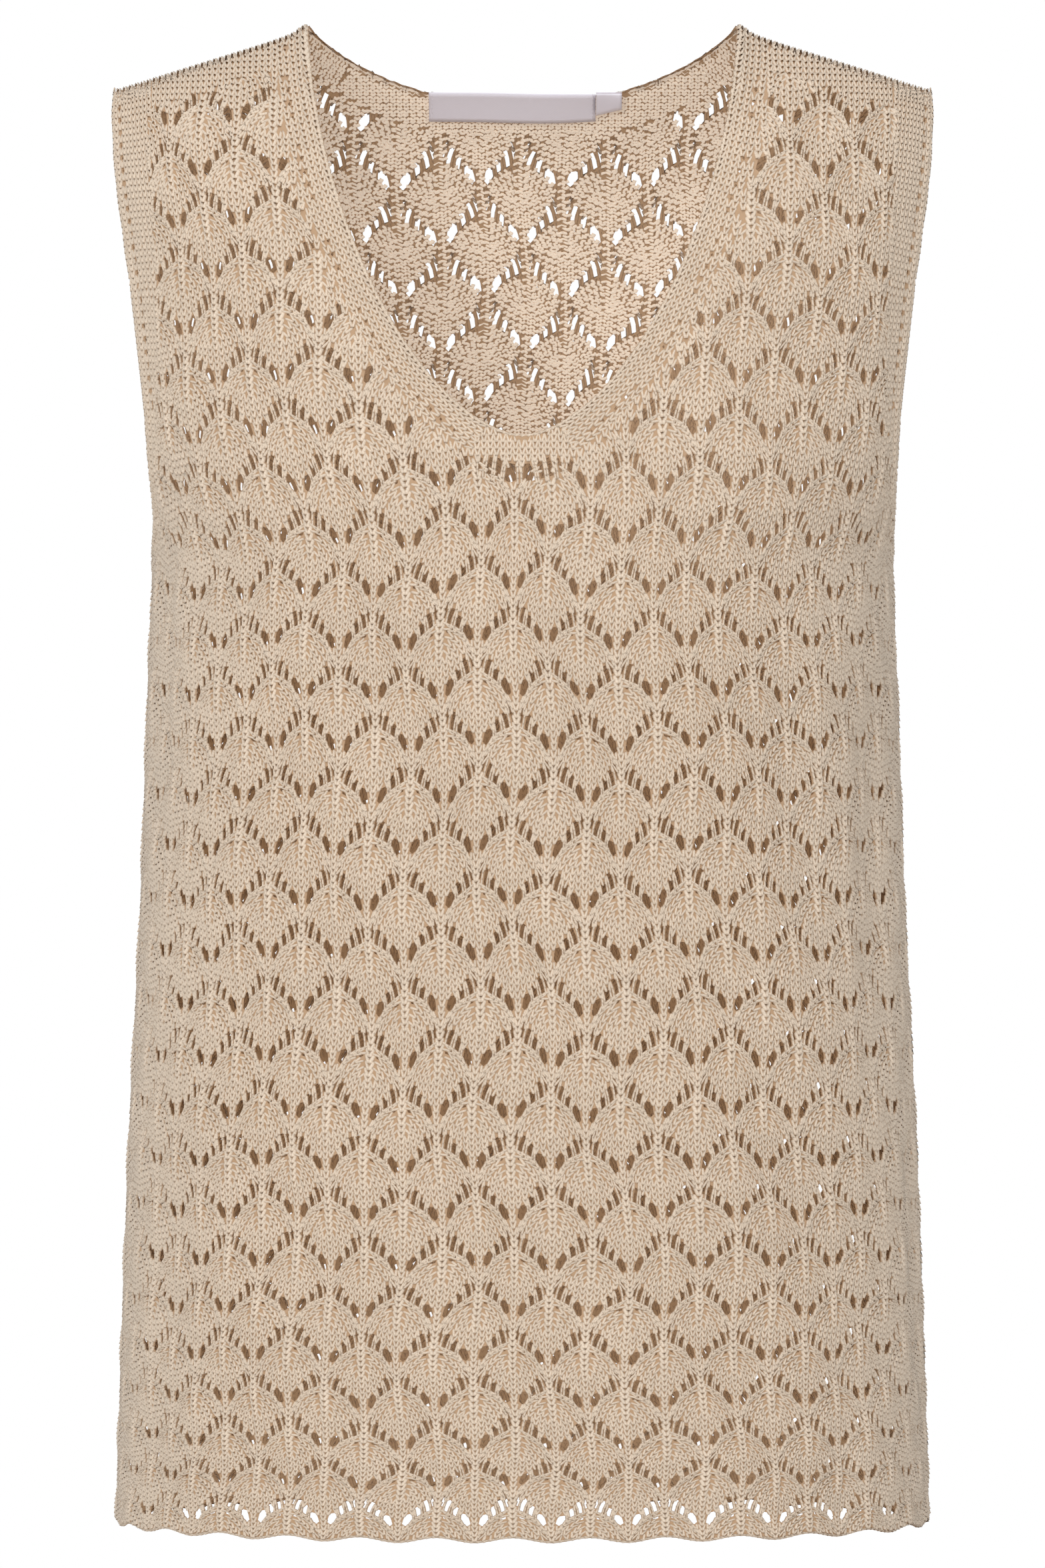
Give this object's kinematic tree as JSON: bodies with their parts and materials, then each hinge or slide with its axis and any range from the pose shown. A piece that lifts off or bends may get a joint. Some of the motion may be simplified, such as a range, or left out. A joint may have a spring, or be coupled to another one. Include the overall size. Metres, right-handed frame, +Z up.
{
  "type": "sleeveless knit top",
  "caption": "Sleeveless scale-lace knit top with a V neck, straight body and scalloped hem, hollow and filled out as worn.",
  "frame": {"origin": "midway between the two shoulder seams, at the height of the middle of a shoulder seam, where the wearer's shoulders hold the top", "axes": "+Z up, -Y out of the front panel, +X to the right of someone looking at the front"},
  "size_m": [0.3292, 0.2298, 0.5986],
  "materials": {
    "front_knit": "sand cotton lace knit, right side",
    "back_knit": "sand cotton lace knit, right side",
    "label_satin": "pale lilac white woven satin, blank",
    "tab_satin": "pale woven tape, blank"
  },
  "bodies": {
    "root": {"front_panel": "front_knit", "back_panel": "back_knit", "neck_label": "label_satin", "size_tab": "tab_satin"}
  },
  "joints": []
}
